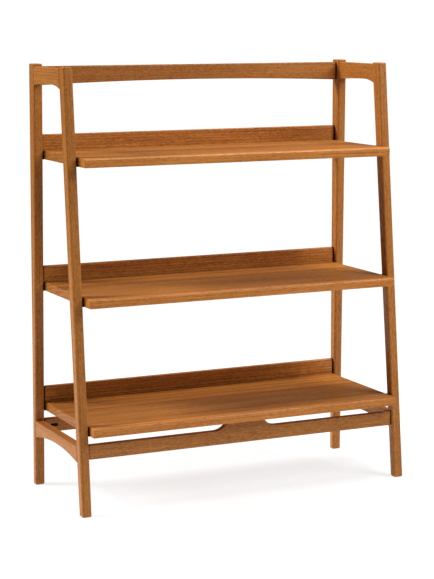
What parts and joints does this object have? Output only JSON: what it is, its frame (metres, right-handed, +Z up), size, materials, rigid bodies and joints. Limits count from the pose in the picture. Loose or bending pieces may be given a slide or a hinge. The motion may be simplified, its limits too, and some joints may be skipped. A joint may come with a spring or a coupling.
{
  "type": "ladder shelf",
  "caption": "Open ladder shelf: level shelves of growing depth, each with a rear lip, between two side frames of an upright rear post and a leaning front leg.",
  "frame": {"origin": "middle of the footprint, on the floor", "axes": "+X along the width, +Y toward the wall side (front faces -Y), +Z up"},
  "size_m": [0.965, 0.383, 1.163],
  "materials": {
    "frame_wood": "satin",
    "shelf_wood": "satin",
    "black_spacer": "matte",
    "dowel_wood": "raw",
    "steel_fitting": "zinc plated"
  },
  "bodies": {
    "root": {"left_rear_post": "frame_wood", "left_front_leg": "frame_wood", "left_upper_side_rail": "frame_wood", "left_lower_side_rail": "frame_wood", "right_rear_post": "frame_wood", "right_front_leg": "frame_wood", "right_upper_side_rail": "frame_wood", "right_lower_side_rail": "frame_wood", "rear_top_rail": "frame_wood", "front_stretcher": "frame_wood", "rear_stretcher": "frame_wood", "top_shelf_board": "shelf_wood", "top_shelf_nosing": "shelf_wood", "top_shelf_lip": "shelf_wood", "top_shelf_spacers": "black_spacer", "middle_shelf_board": "shelf_wood", "middle_shelf_nosing": "shelf_wood", "middle_shelf_lip": "shelf_wood", "middle_shelf_spacers": "black_spacer", "bottom_shelf_board": "shelf_wood", "bottom_shelf_nosing": "shelf_wood", "bottom_shelf_lip": "shelf_wood", "bottom_shelf_spacers": "black_spacer", "rail_spacers": "black_spacer", "side_rail_dowels": "dowel_wood", "cross_member_dowels": "dowel_wood", "hanger_bolts": "steel_fitting", "half_moon_washers": "steel_fitting", "hex_nuts": "steel_fitting", "shelf_cams": "steel_fitting", "cam_dowels": "steel_fitting", "lip_screws": "steel_fitting"}
  },
  "joints": []
}
